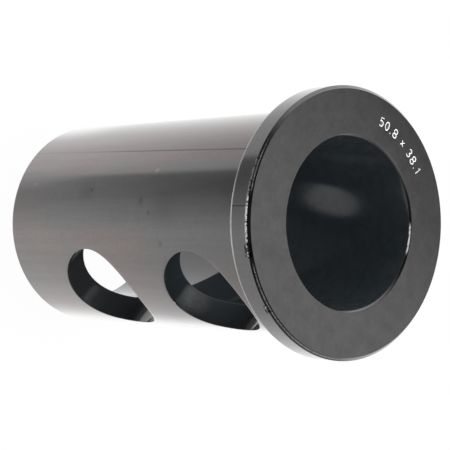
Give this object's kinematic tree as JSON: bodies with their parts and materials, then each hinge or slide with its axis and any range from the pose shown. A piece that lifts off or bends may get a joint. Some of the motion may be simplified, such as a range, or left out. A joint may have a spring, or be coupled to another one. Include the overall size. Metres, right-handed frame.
{
  "type": "tool holder bushing",
  "caption": "Flanged steel reducing sleeve for a turning tool block, with a through bore and round clamp windows in line on one side.",
  "frame": {"origin": "centre of the plain end, where the part stands", "axes": "+Z along the bore axis from the plain end to the flange, -Y out through the clamp windows"},
  "size_m": [0.0604, 0.0604, 0.096],
  "materials": {
    "black_oxide_steel": "ground and black oxided, satin outside and smooth in the bore"
  },
  "bodies": {
    "root": {"bushing": "black_oxide_steel"}
  },
  "joints": []
}
